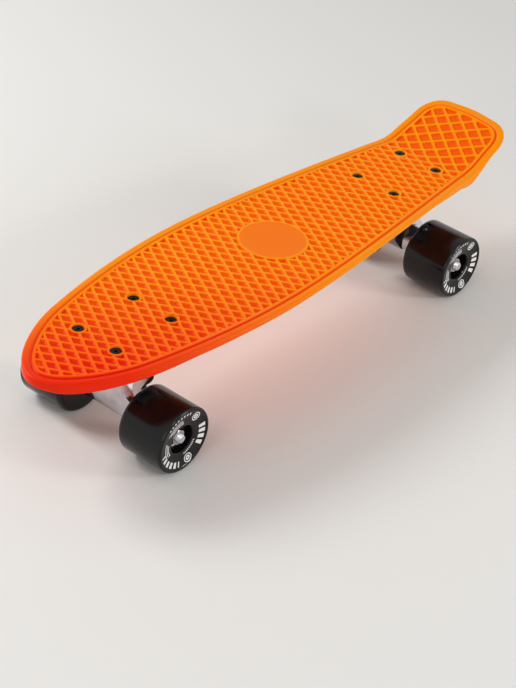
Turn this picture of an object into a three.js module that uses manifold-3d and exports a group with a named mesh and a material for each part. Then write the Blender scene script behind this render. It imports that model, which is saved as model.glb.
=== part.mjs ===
// Plastic cruiser skateboard: a moulded deck with a kicked tail, two trucks and four wheels.
// Millimetres. +X points to the nose, +Y to the left side, +Z up. The board stands on its wheels at z = 0.
import * as THREE from 'three';
import { mergeVertices } from 'three/addons/utils/BufferGeometryUtils.js';
import { ConvexGeometry } from 'three/addons/geometries/ConvexGeometry.js';
import Module from 'manifold-3d';

const wasm = await Module();
wasm.setup();

// Driving dimensions
const fit = { gap: 0.3, play: 0.125, overrun: 5 };

const wheel = {
  radius: 29.5,
  width: 46.5,
  outerFace: 78.25,
  lip: 4.5,
  faceDish: 2.5,
  hubRadius: 12.5,
  backDish: 4.5,
  boreRadius: 9,
  sides: 24,
};

const bearing = { outerRadius: 11, innerRadius: 4.35, width: 7, spacing: 10, sides: 12 };

const axle = { radius: 4, tip: 75.5, chamfer: 0.75, sides: 10 };

const hanger = {
  halfWidth: 39.75,
  barThick: 13,
  barRound: 3,
  shoulder: 1,
  shoulderRadius: 6.25,
  webHalfWidth: 30.5,
  webThick: 9,
  wingRise: 6,
  waistDrop: 9,
  waistHalfWidth: 19.5,
  neckDrop: 13.5,
  neckHalfWidth: 12,
  neckRadius: 6.5,
  ballRadius: 5.5,
  ringRadius: 15,
  ringThick: 6,
  ringBore: 7,
  scoopRadius: 20,
  scoopWall: 1.5,
  roomGap: 3,
  sides: 18,
};

const truck = {
  height: 57.5,
  kingpinX: -30,
  pivotX: 9,
  pivotDrop: 14.5,
  boltCentreX: -8.75,
};

const basePlate = {
  endMargin: 5.75,
  sideMargin: 6.875,
  thick: 4.5,
  corner: 9,
  bevel: 1,
  blockInner: -39.5,
  blockOuter: 22,
  blockDraft: 4,
  blockHalfWidth: 13,
  blockTopHalfWidth: 9.5,
  blockHeightKingpin: 21.25,
  blockHeightPivot: 24,
};

const kingpin = { radius: 4.75, headRadius: 8.5, headHeight: 6, headInset: 1.5, tip: 1.5, sides: 14 };

const cupWasher = { radius: 12.25, thick: 1, rimHeight: 2.25, wall: 1, sides: 14 };

const bushing = { upperHeight: 10.75, lowerHeight: 11.25, radius: 11, neck: 9, taper: 8.25, sides: 14 };

const kingpinNut = { flats: 14, height: 6, collar: 2, collarRadius: 6, sides: 12 };

const pivotCup = { wall: 1.75, mouthRadius: 7.25, lip: 0.75, roof: 1.5, sides: 12 };

const pattern = { wheelbase: 358, length: 63.5, width: 41.25 };

const deckBolt = { radius: 2.5, headRadius: 4.75, headHeight: 2.75, headLand: 0.5, tip: 1.5, sides: 8 };

const lockNut = { flats: 8, height: 3.5, collar: 1.5, collarRadius: 3.5, sides: 8 };

const axleNut = { flats: 12.5, height: 5, collar: 1.5, collarRadius: 5.25, sides: 12 };

const speedWasher = { radius: 7, thick: 1, sides: 12 };

const deck = {
  noseReach: 282,
  tailReach: 300,
  halfWidth: 74.5,
  neckHalfWidth: 49.5,
  tailHalfWidth: 47.75,
  neckReach: 220,
  padDepth: 10.75,
  top: 1.5,
  rimBand: 9.5,
  rimStep: 0.9,
  stepRun: 0.6,
  edgeRound: 2.25,
  edgeDrop: 1.1,
  footRound: 1.1,
  flange: 4.5,
  flangeRun: 1.5,
  skirt: 9.5,
  body: 12.25,
  shell: 4.75,
  ridge: 9,
  camber: 1.5,
  kickRadius: 58,
  kickAngle: THREE.MathUtils.degToRad(20.5),
  badgeRadius: 30.75,
  badgeRise: 0.25,
  badgeX: -3.5,
  badgeSides: 40,
  bossRadius: 7,
  sinkRadius: 5.25,
  ribStart: 85,
  ribEnd: 125,
};

// Diamond pockets of the grip surface. On the tail the pattern is drawn out along the board.
const waffle = { pitchX: 10.4, pitchY: 18, depth: 1.9, crest: 0.1, border: 1.5, tailStretch: 1.33 };

// Heights of the main levels
const axleZ = wheel.radius;
const padZ = axleZ + truck.height;
const boltPlaneZ = padZ + deck.padDepth;
const truckX = pattern.wheelbase / 2;
const plateLength = pattern.length + 2 * basePlate.endMargin;
const plateWidth = pattern.width + 2 * basePlate.sideMargin;
const pivotZ = truck.height - truck.pivotDrop;
const neckTop = pivotZ - hanger.neckDrop;
const halfTurn = Math.PI;

const finish = {
  deck: { color: '#ff6a08', roughness: 0.38, metalness: 0 },
  aluminium: { color: '#b9b9bd', roughness: 0.22, metalness: 1 },
  steel: { color: '#c9c9cc', roughness: 0.28, metalness: 1 },
  blackSteel: { color: '#1a1a1c', roughness: 0.42, metalness: 0.6 },
  bushing: { color: '#e8a313', roughness: 0.35, metalness: 0 },
  rubber: { color: '#141414', roughness: 0.7, metalness: 0 },
  wheel: { color: '#0d0d0f', roughness: 0.22, metalness: 0 },
  shield: { color: '#222224', roughness: 0.45, metalness: 0.3 },
};

// Solids

// Merges a geometry's shared corners and drops the triangles that have no area.
function closed(geometry) {
  const bare = geometry.clone();
  bare.deleteAttribute('normal');
  bare.deleteAttribute('uv');
  const merged = mergeVertices(bare);
  const source = merged.index.array;
  const kept = [];
  for (let i = 0; i < source.length; i += 3) {
    const [a, b, c] = [source[i], source[i + 1], source[i + 2]];
    if (a !== b && b !== c && c !== a) kept.push(a, b, c);
  }
  merged.setIndex(kept);
  return merged;
}

function solidOf(geometry) {
  const merged = closed(geometry);
  return new wasm.Manifold(new wasm.Mesh({
    numProp: 3,
    vertProperties: new Float32Array(merged.attributes.position.array),
    triVerts: new Uint32Array(merged.index.array),
  }));
}

function geometryOf(solid) {
  const mesh = solid.getMesh();
  const geometry = new THREE.BufferGeometry();
  geometry.setAttribute('position', new THREE.BufferAttribute(mesh.vertProperties, 3));
  geometry.setIndex(new THREE.BufferAttribute(mesh.triVerts, 1));
  geometry.computeVertexNormals();
  return geometry;
}

function meshOf(name, solid, look) {
  const mesh = new THREE.Mesh(geometryOf(solid), new THREE.MeshStandardMaterial(look));
  mesh.name = name;
  return mesh;
}

// Revolves a closed profile of [radius, height] pairs about +Z, whichever way round it is listed.
function revolved(profile, sides, phase = 0) {
  const points = profile.map(([r, z]) => new THREE.Vector2(r, z));
  if (THREE.ShapeUtils.area(points) < 0) points.reverse();
  points.push(points[0].clone());
  const geometry = new THREE.LatheGeometry(points, sides, phase);
  geometry.rotateX(halfTurn / 2);
  return solidOf(geometry);
}

function cylinder(radius, low, high, sides, phase = 0) {
  return revolved([[0, low], [radius, low], [radius, high], [0, high]], sides, phase);
}

// Extrudes a closed outline of points in X and Y from one height to another.
function prism(outline, low, high) {
  const shape = new THREE.Shape(outline);
  const geometry = new THREE.ExtrudeGeometry(shape, { depth: high - low, bevelEnabled: false });
  geometry.translate(0, 0, low);
  return solidOf(geometry);
}

function hull(points) {
  return solidOf(new ConvexGeometry(points));
}

function roundedRectangle(length, width, corner, steps) {
  const [x, y] = [length / 2 - corner, width / 2 - corner];
  const shape = new THREE.Shape();
  shape.absarc(x, y, corner, 0, halfTurn / 2);
  shape.absarc(-x, y, corner, halfTurn / 2, halfTurn);
  shape.absarc(-x, -y, corner, halfTurn, 1.5 * halfTurn);
  shape.absarc(x, -y, corner, 1.5 * halfTurn, 2 * halfTurn);
  return shape.getPoints(steps);
}

// A lock nut along +Z: hexagon, round collar for its insert, and a clear bore.
function nut(size, boltRadius) {
  const hexRadius = size.flats / Math.sqrt(3);
  const total = size.height + size.collar;
  const hexagon = cylinder(hexRadius, 0, size.height, 6);
  const collar = cylinder(size.collarRadius, size.height / 2, total, size.sides);
  const bore = cylinder(boltRadius + fit.gap, -fit.overrun, total + fit.overrun, size.sides);
  return hexagon.add(collar).subtract(bore);
}

// Deck

// Half of the outline, from the middle of the nose round the left side to the middle of the tail.
// Its points are shares of the reach to the nose or tail and of the half width, neck or tail width.
function outlineHalf() {
  const { noseReach: n, tailReach: t, halfWidth: w, neckHalfWidth: k, tailHalfWidth: e } = deck;
  const path = new THREE.Path();
  path.moveTo(n, 0);
  path.bezierCurveTo(n, 0.34 * w, 0.835 * n, 0.675 * w, 0.72 * n, 0.765 * w);
  path.bezierCurveTo(0.54 * n, 0.915 * w, 0.36 * n, w, 0.18 * n, w);
  path.bezierCurveTo(-0.08 * t, w, -0.445 * t, 1.215 * k, -0.675 * t, 1.055 * k);
  path.bezierCurveTo(-0.715 * t, 1.015 * k, -0.75 * t, k, -0.79 * t, k);
  path.bezierCurveTo(-0.83 * t, k, -0.86 * t, e, -0.89 * t, e);
  path.bezierCurveTo(-0.955 * t, e, -0.99 * t, 0.78 * e, -0.993 * t, 0.5 * e);
  path.bezierCurveTo(-0.996 * t, 0.3 * e, -t, 0.15 * e, -t, 0);
  return path;
}

const outlineSteps = [8, 6, 11, 3, 2, 4, 2];

// The whole outline as points with their inward direction, nose first and then the left side.
function outlinePoints() {
  const half = [];
  outlineHalf().curves.forEach((curve, i) => {
    const points = curve.getPoints(outlineSteps[i]);
    half.push(...(i === 0 ? points : points.slice(1)));
  });
  const mirrored = half.slice(1, -1).reverse().map((p) => new THREE.Vector2(p.x, -p.y));
  const loop = [...half, ...mirrored];
  return loop.map((point, i) => {
    const before = loop[(i + loop.length - 1) % loop.length];
    const after = loop[(i + 1) % loop.length];
    const along = after.clone().sub(before).normalize();
    return { point, inward: new THREE.Vector2(-along.y, along.x) };
  });
}

// Straight-line value of a table of [place, value] pairs, places rising.
function between(table, place) {
  const last = table.length - 1;
  if (place <= table[0][0]) return table[0][1];
  if (place >= table[last][0]) return table[last][1];
  const i = table.findIndex(([p]) => p > place);
  const [p0, v0] = table[i - 1];
  const [p1, v1] = table[i];
  return THREE.MathUtils.mapLinear(place, p0, p1, v0, v1);
}

// A place along the deck as a share: -1 at the tail, 0 between the trucks, 1 at the nose.
function placeShare(s) {
  return s < 0 ? s / deck.tailReach : s / deck.noseReach;
}

const skirtShares = [
  [-1, 0.42], [-0.86, 0.42], [-0.815, 0.62], [-0.76, 1.1], [-0.68, 0.74], [-0.5, 0.43],
  [-0.3, 0.42], [0, 0.47], [0.36, 0.6], [0.54, 0.7], [0.72, 0.92], [0.95, 1.15], [1, 0.9],
];

const bodyShares = [[-1, 0.38], [-0.89, 0.42], [-0.76, 1], [0.8, 1], [1, 0.9]];

function skirtAt(s) {
  return deck.skirt * between(skirtShares, placeShare(s));
}

function bodyAt(s) {
  return deck.body * between(bodyShares, placeShare(s));
}

// How far the ribbed middle of the underside has taken over from the solid ends: 0 to 1.
function ribbing(s) {
  return 1 - THREE.MathUtils.smoothstep(Math.abs(s), deck.ribStart, deck.ribEnd);
}

// Underside section, middle to rim: [share of the half width, depth of the solid end, of the ribbed middle].
// Depths are shares of the body; the channel and the long pockets go down to the shell.
const shellShare = deck.shell / deck.body;
const ridgeShare = deck.ridge / deck.body;
const sectionShares = [
  [0, 1, shellShare],
  [0.27, 1, shellShare],
  [0.37, 1, 0.96],
  [0.53, 1, 0.96],
  [0.62, 0.98, shellShare],
  [0.75, 0.9, shellShare],
  [0.82, 0.84, ridgeShare],
  [0.92, 0.76, ridgeShare],
];

function rimDepth(s) {
  return Math.min(skirtAt(s), deck.shell);
}

// Rings of the rim from the edge of the field over the outside and under the flange: [inset, height].
const rings = [
  (s) => [deck.rimBand, deck.top],
  (s) => [deck.rimBand - deck.stepRun, deck.top - deck.rimStep],
  (s) => [deck.edgeRound, deck.top - deck.rimStep / 2],
  (s) => [deck.edgeRound / 4, deck.top - deck.edgeDrop],
  (s) => [0, deck.top - deck.edgeRound],
  (s) => [0, deck.top - skirtAt(s) + deck.footRound],
  (s) => [deck.footRound, deck.top - skirtAt(s)],
  (s) => [deck.flange, deck.top - skirtAt(s)],
  (s) => [deck.flange + deck.flangeRun, deck.top - rimDepth(s)],
];

// The deck as it lies unrolled: rings round the outline, a ladder of faces over the field,
// and a grid across the underside. Corners are [along, across, up].
function flatDeck() {
  const outline = outlinePoints();
  const count = outline.length;
  const half = count / 2;
  const corners = [];
  const faces = [];
  const quad = (a, b, c, d) => faces.push(a, b, c, a, c, d);
  for (const ring of rings) {
    for (const { point, inward } of outline) {
      const [inset, height] = ring(point.x);
      const place = point.clone().addScaledVector(inward, inset);
      corners.push([place.x, place.y, height]);
    }
  }
  for (let r = 0; r + 1 < rings.length; r += 1) {
    for (let i = 0; i < count; i += 1) {
      const j = (i + 1) % count;
      quad(r * count + j, r * count + i, (r + 1) * count + i, (r + 1) * count + j);
    }
  }
  const right = (i) => (count - i) % count;
  for (let i = 0; i < half; i += 1) {
    const nose = i === 0;
    const tail = i + 1 === half;
    if (nose) faces.push(0, i + 1, right(i + 1));
    else if (tail) faces.push(i, half, right(i));
    else quad(i, i + 1, right(i + 1), right(i));
  }
  // Rows of the underside: from the left rim across to the right rim
  const base = (rings.length - 1) * count;
  const shares = sectionShares.map(([share]) => share);
  const rows = [];
  for (let i = 0; i <= half; i += 1) {
    const edge = corners[base + i];
    if (i === 0 || i === half) {
      rows.push([base + i]);
      continue;
    }
    const row = [base + i];
    const add = (k, side) => {
      const [, solid, ribbed] = sectionShares[k];
      const depth = bodyAt(edge[0]) * THREE.MathUtils.lerp(solid, ribbed, ribbing(edge[0]));
      corners.push([edge[0], side * shares[k] * edge[1], deck.top - Math.max(depth, rimDepth(edge[0]))]);
      row.push(corners.length - 1);
    };
    for (let k = shares.length - 1; k > 0; k -= 1) add(k, 1);
    for (let k = 0; k < shares.length; k += 1) add(k, -1);
    row.push(base + right(i));
    rows.push(row);
  }
  for (let i = 0; i < half; i += 1) {
    const [a, b] = [rows[i], rows[i + 1]];
    if (a.length === 1) for (let k = 0; k + 1 < b.length; k += 1) faces.push(a[0], b[k + 1], b[k]);
    else if (b.length === 1) for (let k = 0; k + 1 < a.length; k += 1) faces.push(a[k], a[k + 1], b[0]);
    else for (let k = 0; k + 1 < a.length; k += 1) quad(a[k], a[k + 1], b[k + 1], b[k]);
  }
  const geometry = new THREE.BufferGeometry();
  geometry.setAttribute('position', new THREE.Float32BufferAttribute(corners.flat(), 3));
  geometry.setIndex(faces);
  return solidOf(geometry);
}

// Where a place of the even waffle pattern lies along the deck.
function patternPlace(along) {
  const past = along + deck.neckReach;
  return past < 0 ? past * waffle.tailStretch - deck.neckReach : along;
}

// Everything above the grip surface: each diamond is low in its middle and high along its ribs.
function waffleMould() {
  const [stepX, stepY] = [waffle.pitchX / 2, waffle.pitchY / 2];
  const first = Math.floor(-deck.tailReach / stepX);
  const last = Math.ceil(deck.noseReach / stepX);
  const side = Math.ceil(deck.halfWidth / stepY);
  const [columns, rows] = [last - first + 1, 2 * side + 1];
  const [corners, faces] = [[], []];
  for (const mould of [true, false]) {
    for (let i = first; i <= last; i += 1) {
      for (let j = -side; j <= side; j += 1) {
        const drop = (i + j) % 2 === 0 ? waffle.depth : waffle.crest;
        corners.push([patternPlace(i * stepX), j * stepY, mould ? deck.top - drop : deck.top + fit.overrun]);
      }
    }
  }
  const node = (i, j, lift) => lift * columns * rows + i * rows + j;
  for (let i = 0; i + 1 < columns; i += 1) {
    for (let j = 0; j + 1 < rows; j += 1) {
      const [a, b, c, d] = [node(i, j, 0), node(i + 1, j, 0), node(i + 1, j + 1, 0), node(i, j + 1, 0)];
      if ((first + i - side + j) % 2 === 0) faces.push(a, d, b, b, d, c);
      else faces.push(a, c, b, a, d, c);
      faces.push(node(i, j, 1), node(i + 1, j, 1), node(i + 1, j + 1, 1));
      faces.push(node(i, j, 1), node(i + 1, j + 1, 1), node(i, j + 1, 1));
    }
  }
  const wall = (i0, j0, i1, j1) => {
    const [a, b, c, d] = [node(i0, j0, 0), node(i1, j1, 0), node(i1, j1, 1), node(i0, j0, 1)];
    faces.push(a, b, c, a, c, d);
  };
  for (let i = 0; i + 1 < columns; i += 1) {
    wall(i, 0, i + 1, 0);
    wall(i + 1, rows - 1, i, rows - 1);
  }
  for (let j = 0; j + 1 < rows; j += 1) {
    wall(columns - 1, j, columns - 1, j + 1);
    wall(0, j + 1, 0, j);
  }
  const geometry = new THREE.BufferGeometry();
  geometry.setAttribute('position', new THREE.Float32BufferAttribute(corners.flat(), 3));
  geometry.setIndex(faces);
  return solidOf(geometry);
}

// The field that the waffle fills: inside the border, clear of the badge and of the bolts' bosses.
function waffleField() {
  const inset = deck.rimBand + waffle.border;
  const outline = outlinePoints().map(({ point, inward }) => point.clone().addScaledVector(inward, inset));
  const [low, high] = [deck.top - deck.shell, deck.top + fit.overrun];
  let field = prism(outline, low, high);
  field = field.subtract(cylinder(deck.badgeRadius, low, high, deck.badgeSides).translate([deck.badgeX, 0, 0]));
  for (const place of boltPlaces()) {
    field = field.subtract(cylinder(deck.bossRadius, low, high, deckBolt.sides).translate([place.x, place.y, 0]));
  }
  return field;
}

function camberAt(s) {
  const along = Math.max(s, -deck.neckReach) / truckX;
  return deck.camber * (1 - along * along);
}

// Rolls an unrolled point up onto the kicked tail and lifts the middle by the camber.
function rolled(s, up) {
  const past = Math.max(0, -deck.neckReach - s);
  const angle = Math.min(past / deck.kickRadius, deck.kickAngle);
  const straight = past - angle * deck.kickRadius;
  const start = Math.max(s, -deck.neckReach);
  const x = start - (deck.kickRadius - up) * Math.sin(angle) - straight * Math.cos(angle);
  const rise = deck.kickRadius * (1 - Math.cos(angle)) + straight * Math.sin(angle);
  return [x, camberAt(s) + rise + up * Math.cos(angle)];
}

function rolledSolid(solid) {
  const geometry = geometryOf(solid);
  const position = geometry.attributes.position;
  for (let i = 0; i < position.count; i += 1) {
    const [x, z] = rolled(position.getX(i), position.getZ(i));
    position.setX(i, x);
    position.setZ(i, z);
  }
  return solidOf(geometry);
}

// Bolt places of one truck pattern, both trucks.
function boltPlaces() {
  const places = [];
  for (const end of [1, -1]) {
    for (const reach of [1, -1]) {
      for (const side of [1, -1]) {
        places.push({
          name: `${end > 0 ? 'front' : 'rear'}_${reach > 0 ? 'outer' : 'inner'}_${side > 0 ? 'left' : 'right'}`,
          x: end * (truckX + reach * pattern.length / 2),
          y: side * pattern.width / 2,
        });
      }
    }
  }
  return places;
}

// Flat seats for the base plates, level with the lowest face of the deck.
function truckSeat(end) {
  const outline = roundedRectangle(plateLength, plateWidth, basePlate.corner, 3);
  return prism(outline, -deck.padDepth, -deck.shell).translate([end * truckX, 0, 0]);
}

function boltHole(place) {
  const shaft = deckBolt.radius + fit.gap;
  const head = deckBolt.headRadius + fit.gap;
  const profile = [
    [0, -deck.padDepth - fit.overrun],
    [shaft, -deck.padDepth - fit.overrun],
    [shaft, -deckBolt.headHeight - fit.gap],
    [head, -deckBolt.headLand - fit.gap],
    [deck.sinkRadius, 0],
    [deck.sinkRadius, fit.overrun],
    [0, fit.overrun],
  ];
  return revolved(profile, deckBolt.sides).translate([place.x, place.y, 0]);
}

function badge() {
  const height = deck.top + camberAt(0) + deck.badgeRise;
  return cylinder(deck.badgeRadius, 0, height, deck.badgeSides).translate([deck.badgeX, 0, 0]);
}

function deckSolid() {
  let solid = rolledSolid(flatDeck().subtract(waffleMould().intersect(waffleField())));
  solid = solid.add(truckSeat(1)).add(truckSeat(-1)).add(badge());
  solid = solid.trimByPlane([0, 0, 1], -deck.padDepth);
  for (const place of boltPlaces()) solid = solid.subtract(boltHole(place));
  return solid.translate([0, 0, boltPlaneZ]);
}

// Deck hardware

function deckBoltSolid() {
  const tip = -deck.padDepth - basePlate.thick - lockNut.height - lockNut.collar - deckBolt.tip;
  return revolved([
    [0, tip],
    [deckBolt.radius, tip],
    [deckBolt.radius, -deckBolt.headHeight],
    [deckBolt.headRadius, -deckBolt.headLand],
    [deckBolt.headRadius, 0],
    [0, 0],
  ], deckBolt.sides);
}

function addDeckHardware(group) {
  const nutZ = padZ - basePlate.thick;
  for (const place of boltPlaces()) {
    const bolt = deckBoltSolid().translate([place.x, place.y, boltPlaneZ]);
    group.add(meshOf(`${place.name}_deck_bolt`, bolt, finish.blackSteel));
    const turned = nut(lockNut, deckBolt.radius).rotate([180, 0, 0]);
    group.add(meshOf(`${place.name}_lock_nut`, turned.translate([place.x, place.y, nutZ]), finish.blackSteel));
  }
}

// Truck, about the middle of its axle: +X towards the end of the board, +Z to the deck

// The block's lower face slopes from the kingpin end to the pivot end.
function blockFaceZ(x) {
  const { blockInner, blockOuter, blockDraft, blockHeightKingpin, blockHeightPivot } = basePlate;
  const drop = THREE.MathUtils.mapLinear(
    x, blockInner + blockDraft, blockOuter - blockDraft, blockHeightKingpin, blockHeightPivot);
  return truck.height - drop;
}

function basePlateSolid() {
  const { thick, corner, bevel, blockInner, blockOuter, blockDraft } = basePlate;
  const top = truck.height;
  const edge = roundedRectangle(plateLength, plateWidth, corner, 3);
  const inset = roundedRectangle(plateLength - 2 * bevel, plateWidth - 2 * bevel, corner - bevel, 3);
  const plate = hull([
    ...edge.map((p) => new THREE.Vector3(p.x, p.y, top - thick + bevel)),
    ...inset.map((p) => new THREE.Vector3(p.x, p.y, top - thick)),
    ...edge.map((p) => new THREE.Vector3(p.x, p.y, top)),
  ]);
  const corners = [];
  for (const side of [1, -1]) {
    for (const x of [blockInner, blockOuter]) {
      const inward = x < 0 ? blockDraft : -blockDraft;
      corners.push(new THREE.Vector3(x, side * basePlate.blockHalfWidth, top - thick / 2));
      corners.push(new THREE.Vector3(x + inward, side * basePlate.blockTopHalfWidth, blockFaceZ(x + inward)));
    }
  }
  const bushingSeat = cylinder(cupWasher.radius, bushingSeatZ, top - thick, cupWasher.sides);
  let solid = plate.translate([truck.boltCentreX, 0, 0]).add(hull(corners));
  solid = solid.add(bushingSeat.translate([truck.kingpinX, 0, 0]));
  // Kingpin hole with a seat for its head, and the pivot cup's pocket
  const shaft = cylinder(kingpin.radius + fit.gap, 0, top + fit.overrun, kingpin.sides);
  const seatLow = top - kingpin.headInset - kingpin.headHeight;
  const seat = cylinder(kingpin.headRadius + fit.gap, seatLow, top + fit.overrun, kingpin.sides);
  solid = solid.subtract(shaft.add(seat).translate([truck.kingpinX, 0, 0]));
  const pocketRadius = pivotCup.mouthRadius + pivotCup.wall + fit.gap;
  const pocket = cylinder(pocketRadius, 0, cupTop() + fit.gap, pivotCup.sides);
  solid = solid.subtract(pocket.translate([truck.pivotX, 0, 0]));
  for (const reach of [1, -1]) {
    for (const side of [1, -1]) {
      const hole = cylinder(deckBolt.radius + fit.gap, 0, top + fit.overrun, deckBolt.sides);
      solid = solid.subtract(hole.translate([
        truck.boltCentreX + reach * pattern.length / 2, side * pattern.width / 2, 0,
      ]));
    }
  }
  return solid;
}

function cupTop() {
  return pivotZ + hanger.ballRadius + fit.gap + pivotCup.roof;
}

// A rubber cup with a flared mouth and a round seat for the pivot's ball.
function pivotCupSolid() {
  const seat = hanger.ballRadius + fit.gap;
  const outer = pivotCup.mouthRadius + pivotCup.wall;
  const mouth = blockFaceZ(truck.pivotX) - 2 * pivotCup.lip;
  const inside = [];
  const steps = 3;
  for (let i = 0; i < steps; i += 1) {
    const angle = (i / steps) * halfTurn / 2;
    inside.push([seat * Math.cos(angle), pivotZ + seat * Math.sin(angle)]);
  }
  return revolved([
    [pivotCup.mouthRadius, mouth],
    [outer, mouth],
    [outer, cupTop()],
    [0, cupTop()],
    [0, pivotZ + seat],
    ...inside.reverse(),
  ], pivotCup.sides).translate([truck.pivotX, 0, 0]);
}

// Levels down the kingpin, from the block's seat to the nut
const bushingSeatZ = blockFaceZ(truck.kingpinX + cupWasher.radius);
const upperWasherZ = bushingSeatZ - fit.play;
const upperBushingTop = upperWasherZ - cupWasher.thick;
const ringTop = upperBushingTop - bushing.upperHeight;
const ringFoot = ringTop - hanger.ringThick;
const lowerBushingFoot = ringFoot - bushing.lowerHeight;
const nutTopZ = lowerBushingFoot - cupWasher.thick - fit.play;
const kingpinTip = nutTopZ - kingpinNut.height - kingpinNut.collar - kingpin.tip;

function kingpinSolid() {
  const headTop = truck.height - kingpin.headInset;
  const shaft = cylinder(kingpin.radius, kingpinTip, headTop - kingpin.headHeight / 2, kingpin.sides);
  const head = cylinder(kingpin.headRadius, headTop - kingpin.headHeight + fit.play, headTop, 6);
  return shaft.add(head);
}

// A dished washer that holds the end of a bushing; its rim points along +Z.
function cupWasherSolid() {
  const { radius, thick, rimHeight, wall, sides } = cupWasher;
  const bore = kingpin.radius + fit.gap;
  return revolved([
    [bore, 0], [radius - wall, 0], [radius, rimHeight],
    [radius - wall, rimHeight], [radius - wall, thick], [bore, thick],
  ], sides);
}

function upperBushingSolid() {
  const bore = kingpin.radius + fit.gap;
  const [low, high] = [ringTop, upperBushingTop];
  const middle = (low + high) / 2;
  return revolved([
    [bore, low], [bushing.neck, low], [bushing.radius, middle], [bushing.neck, high], [bore, high],
  ], bushing.sides);
}

function lowerBushingSolid() {
  const bore = kingpin.radius + fit.gap;
  const [low, high] = [lowerBushingFoot, ringFoot];
  const shoulder = high - cupWasher.rimHeight;
  return revolved([
    [bore, low], [bushing.taper, low], [bushing.radius, shoulder], [bushing.neck, high], [bore, high],
  ], bushing.sides);
}

function barSolid() {
  const { barThick, barRound, halfWidth, shoulder, shoulderRadius } = hanger;
  const bar = prism(roundedRectangle(barThick, barThick, barRound, 2), -halfWidth, halfWidth);
  const ends = cylinder(shoulderRadius, -halfWidth - shoulder, halfWidth + shoulder, axle.sides);
  return bar.add(ends).rotate([90, 0, 0]);
}

// Points of a level rectangle for a hull.
function slab(x0, x1, halfWidth, z) {
  return [[x0, halfWidth], [x0, -halfWidth], [x1, halfWidth], [x1, -halfWidth]].map(
    ([x, y]) => new THREE.Vector3(x, y, z));
}

function hangerSolid() {
  const { barThick, ringRadius, webThick, waistHalfWidth, neckHalfWidth, neckRadius } = hanger;
  const barEdge = barThick / 2;
  // The web is a plate that leans outwards: wide wings at the bar, a waist, and the neck.
  const wingZ = barEdge + hanger.wingRise;
  const waistZ = neckTop - hanger.waistDrop;
  const webTopX = truck.pivotX + webThick / 2;
  const webFace = (z) => THREE.MathUtils.mapLinear(z, 0, neckTop, barEdge, webTopX);
  const webSlab = (halfWidth, z) => slab(webFace(z) - webThick, webFace(z), halfWidth, z);
  const wings = hull([...webSlab(hanger.webHalfWidth, 0), ...webSlab(hanger.webHalfWidth, wingZ)]);
  const waist = hull([...webSlab(hanger.webHalfWidth, wingZ), ...webSlab(waistHalfWidth, waistZ)]);
  const neck = hull([...webSlab(waistHalfWidth, waistZ), ...webSlab(neckHalfWidth, neckTop)]);
  const yokeEdge = truck.kingpinX + ringRadius / 2;
  const arm = hull([
    ...slab(truck.kingpinX, yokeEdge, ringRadius, ringTop),
    ...slab(yokeEdge, truck.kingpinX / 2, ringRadius, ringFoot),
    ...slab(-barEdge, barEdge, hanger.webHalfWidth, -barEdge),
    ...slab(-barEdge, barEdge, hanger.webHalfWidth, barEdge),
    ...slab(truck.pivotX - neckRadius, truck.pivotX, neckHalfWidth, neckTop),
  ]);
  const ring = cylinder(hanger.ringRadius, ringFoot, ringTop, hanger.sides).translate([truck.kingpinX, 0, 0]);
  const ballSteps = 4;
  const ball = [];
  for (let i = 0; i <= ballSteps; i += 1) {
    const angle = (i / ballSteps) * halfTurn / 2;
    ball.push([hanger.ballRadius * Math.cos(angle), pivotZ + hanger.ballRadius * Math.sin(angle)]);
  }
  ball[ballSteps][0] = 0;
  const pivot = revolved([
    [0, neckTop - webThick], [neckRadius, neckTop - webThick], [neckRadius, neckTop],
    [hanger.ballRadius - fit.gap, neckTop + hanger.ballRadius / 2],
    ...ball,
  ], pivotCup.sides).translate([truck.pivotX, 0, 0]);
  // Room round the bushings and the nut, a scoop each side of the arm, and the bores
  const roomRadius = cupWasher.radius + hanger.roomGap;
  const nutRoom = cylinder(roomRadius, -barThick, ringFoot, hanger.sides);
  const bushingRoom = cylinder(roomRadius, ringTop, truck.height, hanger.sides);
  const bore = cylinder(hanger.ringBore, 0, truck.height, axle.sides);
  const axleBore = cylinder(
    axle.radius + fit.gap, -hanger.halfWidth - fit.overrun, hanger.halfWidth + fit.overrun, axle.sides);
  let solid = wings.add(waist).add(neck).add(arm).add(ring);
  solid = solid.subtract(nutRoom.add(bushingRoom).translate([truck.kingpinX, 0, 0]));
  for (const side of [1, -1]) {
    const scoop = cylinder(hanger.scoopRadius, -barThick, truck.height, 2 * hanger.sides);
    solid = solid.subtract(scoop.translate([
      truck.kingpinX / 2, side * (hanger.scoopRadius + neckHalfWidth + hanger.scoopWall), 0,
    ]));
  }
  solid = solid.add(barSolid()).add(pivot);
  solid = solid.subtract(bore.translate([truck.kingpinX, 0, 0]));
  return solid.subtract(axleBore.rotate([90, 0, 0]));
}

function axleSolid() {
  const { radius, tip, chamfer, sides } = axle;
  return revolved([
    [0, -tip], [radius - chamfer, -tip], [radius, -tip + chamfer],
    [radius, tip - chamfer], [radius - chamfer, tip], [0, tip],
  ], sides).rotate([90, 0, 0]);
}

// Levels along the axle, outwards from the hanger: bearing, core, bearing, washer, nut
const innerBearingY = hanger.halfWidth + hanger.shoulder + fit.play;
const outerBearingY = innerBearingY + bearing.width + bearing.spacing;
const washerY = outerBearingY + bearing.width + fit.play;
const nutY = washerY + speedWasher.thick;

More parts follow.
